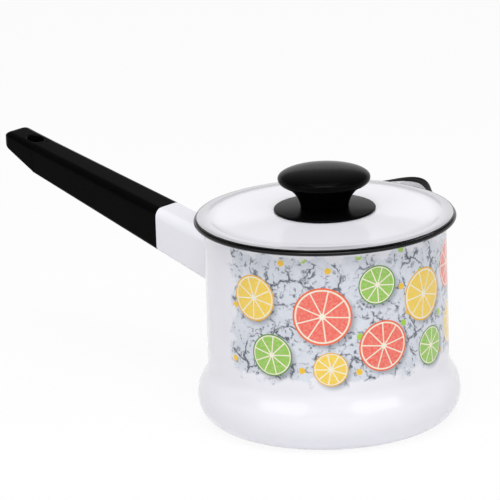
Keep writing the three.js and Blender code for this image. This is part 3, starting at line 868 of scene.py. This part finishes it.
def makeScrew(name, node, body, headRadius, headHeight, shankRadius, length, place):
    (flat, shoulder), rim = screw["crown"], -screw["rim"] * headHeight
    crown = bezierPoints((0, -headHeight), (flat * headRadius, -headHeight),
                         (headRadius, -shoulder * headHeight), (headRadius, rim), 12)
    profile = crown + [(headRadius, 0), (shankRadius, 0), (shankRadius, length - shankRadius), (0, length)]
    bm = turnedShape(profile, screw["steps"])
    half = screw["recessWidth"] * headRadius
    for axis in ((1, 0, 0), (0, 1, 0)):
        for side in (-half, half):
            cut = [f for f in bm.faces if f.calc_center_median().z < rim]
            geom = cut + once(e for f in cut for e in f.edges) + once(v for f in cut for v in f.verts)
            bmesh.ops.bisect_plane(bm, geom=geom, plane_co=Vector(axis) * side, plane_no=axis)
    recess = []
    for face in bm.faces:
        middle = face.calc_center_median()
        arm = min(abs(middle.x), abs(middle.y)) < half
        if arm and middle.z < rim and middle.xy.length < screw["recessReach"] * headRadius:
            recess.append(face)
    sunk = bmesh.ops.extrude_face_region(bm, geom=recess)["geom"]
    bmesh.ops.delete(bm, geom=recess, context="FACES")
    bmesh.ops.translate(bm, vec=(0, 0, screw["recessDepth"] * headHeight),
                        verts=[g for g in sunk if isinstance(g, bmesh.types.BMVert)])
    bmesh.ops.recalc_face_normals(bm, faces=bm.faces)
    bmesh.ops.transform(bm, matrix=place, verts=bm.verts)
    finishPiece(name, bm, zincSteel, body, node, rounding=screw["edge"])


gripScrew = {"inset": 14.0, "head": 3.4, "headHeight": 2.0, "shank": 1.6, "length": 12.0, "seat": 0.3}
knobScrew = {"headHeight": 3.0, "shank": 2.1}


def makeScrews():
    reach, top, _, height = handleAt(-socketLow.x - gripScrew["inset"])
    taper = (handle["rootHeight"] - handle["tipHeight"]) / handle["length"]
    tilt = math.atan(math.tan(math.radians(handle["rise"])) + taper)
    place = Matrix.Translation((-reach, 0, top - height)) @ Matrix.Rotation(tilt, 4, "Y")
    place @= Matrix.Translation((0, 0, -gripScrew["seat"]))
    makeScrew("grip_screw_pan_head", "grip_screw", "pan", gripScrew["head"], gripScrew["headHeight"],
              gripScrew["shank"], gripScrew["length"] + gripScrew["seat"], place)
    seat = knobScrewLow.z + knobScrew["headHeight"]
    makeScrew("knob_screw_pan_head", "knob_screw", "lid", knobScrewHigh.y, knobScrew["headHeight"],
              knobScrew["shank"], knobScrewHigh.z - seat, Matrix.Translation((0, 0, seat)))


makeScrews()

washer = {"steps": 64, "holeRadius": 2.4, "edge": 0.15}
bush = {"steps": 64, "holeRadius": 2.4, "waist": 0.6, "edge": 0.15}


def makeWasher():
    low, high, outer = washerLow.z, washerHigh.z, washerHigh.y
    profile = [(washer["holeRadius"], low), (outer, low), (outer, high), (washer["holeRadius"], high)]
    bm = turnedShape(profile, washer["steps"], closed=True)
    finishPiece("washer_disc", bm, zincSteel, "lid", "screw_washer",
                rounding=washer["edge"])


def makeBush():
    low, high, outer, waist = insertLow.z, insertHigh.z, insertHigh.y, bush["waist"]
    third = (high - low) / 3
    profile = [(bush["holeRadius"], low), (outer, low), (outer, low + third),
               (outer - waist, low + third + waist), (outer - waist, high - third - waist),
               (outer, high - third), (outer, high), (bush["holeRadius"], high)]
    bm = turnedShape(profile, bush["steps"], closed=True)
    finishPiece("knob_bush", bm, turnedBrass, "lid", "knob_insert", rounding=bush["edge"])


makeWasher()
makeBush()

# studio: white paper, flat under the pan and curved up far round it, in a dim room with softboxes
studio = {
    "paper": "#f4f4f6",
    "paperGlow": 0.92,  # share of the paper that the camera sees as plain white, the rest takes the shadow
    "coveStart": 8.4,  # metres from the pan
    "coveCurve": 1.6,
    "coveTop": 3.5,
    "coveSteps": 96,
    "drop": 0.0002,  # clear of the base, so that the two faces don't coincide
    "target": (0, 0, 0.06),
    "room": 0.36,
    "lamps": [  # name, degrees from the camera, elevation, distance, width, height, watts
        ("front left softbox", -46, 38, 1.6, 1.15, 0.9, 4.2),
        ("front right softbox", 46, 38, 1.6, 1.15, 0.9, 4.8),
        ("high front softbox", 0, 66, 1.8, 1.0, 0.8, 13.5),
        ("overhead softbox", 0, 88, 1.5, 1.0, 1.0, 3.5),
    ],
}


def makePaper():
    start, curve = studio["coveStart"], studio["coveCurve"]
    profile = [(0, 0)] + arcPoints(start, curve, curve, -90, 0, 12) + [(start + curve, studio["coveTop"])]
    bm = turnedShape(profile, studio["coveSteps"])
    bmesh.ops.translate(bm, vec=(0, 0, -studio["drop"]), verts=bm.verts)
    for face in bm.faces:
        face.smooth = True
    mesh = bpy.data.meshes.new("paper_cove")
    bm.to_mesh(mesh)
    bm.free()
    paper = bpy.data.objects.new("paper_cove", mesh)
    bpy.context.scene.collection.objects.link(paper)
    material, tree = newMaterial("white paper")
    light = addNode(tree, "ShaderNodeLightPath").outputs
    seen = addNode(tree, "ShaderNodeMath", {
        0: light["Is Glossy Ray"], 1: light["Is Transmission Ray"]}, operation="MAXIMUM").outputs[0]
    share = addNode(tree, "ShaderNodeMath", {
        0: light["Is Camera Ray"], 1: studio["paperGlow"], 2: seen}, operation="MULTIPLY_ADD").outputs[0]
    matt = addNode(tree, "ShaderNodeBsdfDiffuse", {"Color": linear(studio["paper"])})
    glow = addNode(tree, "ShaderNodeEmission", {"Color": (1, 1, 1, 1), "Strength": 1.0})
    both = addNode(tree, "ShaderNodeMixShader", {0: share, 1: matt.outputs[0], 2: glow.outputs[0]})
    addNode(tree, "ShaderNodeOutputMaterial", {"Surface": both.outputs[0]})
    mesh.materials.append(material)


def makeWorld():
    world = bpy.data.worlds.new("dim studio")
    world.use_nodes = True
    tree = world.node_tree
    tree.nodes.clear()
    room = addNode(tree, "ShaderNodeBackground", {"Color": (1, 1, 1, 1), "Strength": studio["room"]})
    addNode(tree, "ShaderNodeOutputWorld", {"Surface": room.outputs[0]})
    bpy.context.scene.world = world


def awayFrom(azimuth, elevation):
    a, e = math.radians(azimuth), math.radians(elevation)
    return Vector((math.sin(a) * math.cos(e), -math.cos(a) * math.cos(e), math.sin(e)))


def makeLamp(name, aside, elevation, distance, width, height, power):
    away = awayFrom(camera["azimuth"] + aside, elevation)
    data = bpy.data.lights.new(name, "AREA")
    data.shape, data.size, data.size_y, data.energy = "RECTANGLE", width, height, power
    lamp = bpy.data.objects.new(name, data)
    lamp.location = Vector(studio["target"]) + away * distance
    lamp.rotation_mode = "QUATERNION"
    lamp.rotation_quaternion = away.to_track_quat("Z", "Y")
    bpy.context.scene.collection.objects.link(lamp)


# camera: long lens, the pan's axis right of and below the middle of the picture
camera = {
    "azimuth": 41.0,
    "elevation": 17.556,
    "distance": 2.4,
    "roll": -1.494,
    "focalPixels": 4178.2,
    "pictureSize": 500.0,
    "sensor": 36.0,
    "clip": (0.1, 50.0),
    "axisPixel": (327.48, 313.61),  # where the point 60 mm up the axis lands
}


def makeCamera():
    size, focal = camera["pictureSize"], camera["focalPixels"]
    data = bpy.data.cameras.new("camera")
    data.sensor_width = camera["sensor"]
    data.lens = focal / size * data.sensor_width
    data.clip_start, data.clip_end = camera["clip"]
    lens = bpy.data.objects.new("camera", data)
    away = awayFrom(camera["azimuth"], camera["elevation"])
    lens.location = Vector(studio["target"]) + away * camera["distance"]
    u, v = camera["axisPixel"]
    aim = Vector(((u - size / 2) / focal, (size / 2 - v) / focal, -1))
    offset = Vector((0, 0, -1)).rotation_difference(aim)
    roll = Quaternion((0, 0, 1), math.radians(camera["roll"]))
    lens.rotation_mode = "QUATERNION"
    lens.rotation_quaternion = (-away).to_track_quat("-Z", "Y") @ roll @ offset.inverted()
    bpy.context.scene.collection.objects.link(lens)
    bpy.context.scene.camera = lens


makePaper()
makeWorld()
for lampSettings in studio["lamps"]:
    makeLamp(*lampSettings)
print("studio set")
makeCamera()
bpy.context.scene.view_settings.view_transform = "Standard"
print("camera set")
